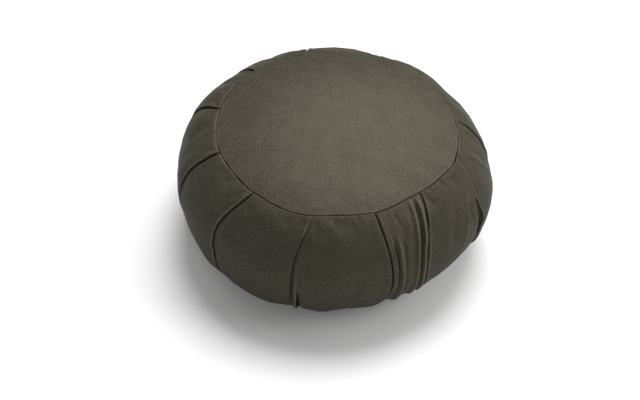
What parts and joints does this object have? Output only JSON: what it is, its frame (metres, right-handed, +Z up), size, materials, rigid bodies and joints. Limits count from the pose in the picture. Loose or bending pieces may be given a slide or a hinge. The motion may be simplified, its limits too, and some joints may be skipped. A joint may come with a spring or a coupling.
{
  "type": "round pleated meditation cushion",
  "caption": "Low round floor cushion for sitting: a filled side band folded into knife pleats between two round panels, with a flat carry handle sewn to its side.",
  "frame": {"origin": "on the floor under the middle of the cushion's bounding box", "axes": "+Z up, out of the crowned top panel; the carry handle is on the side between +X and -Y"},
  "size_m": [0.331, 0.3317, 0.14],
  "materials": {
    "band_twill": "matt olive-brown cotton twill, pressed pleats",
    "top_twill": "matt olive-brown cotton twill, fine mottled weave",
    "bottom_twill": "matt olive-brown cotton twill",
    "handle_twill": "matt olive-brown cotton twill, topstitched edges"
  },
  "bodies": {
    "root": {"pleated_band": "band_twill", "top_panel": "top_twill", "bottom_panel": "bottom_twill", "carry_handle": "handle_twill"}
  },
  "joints": []
}
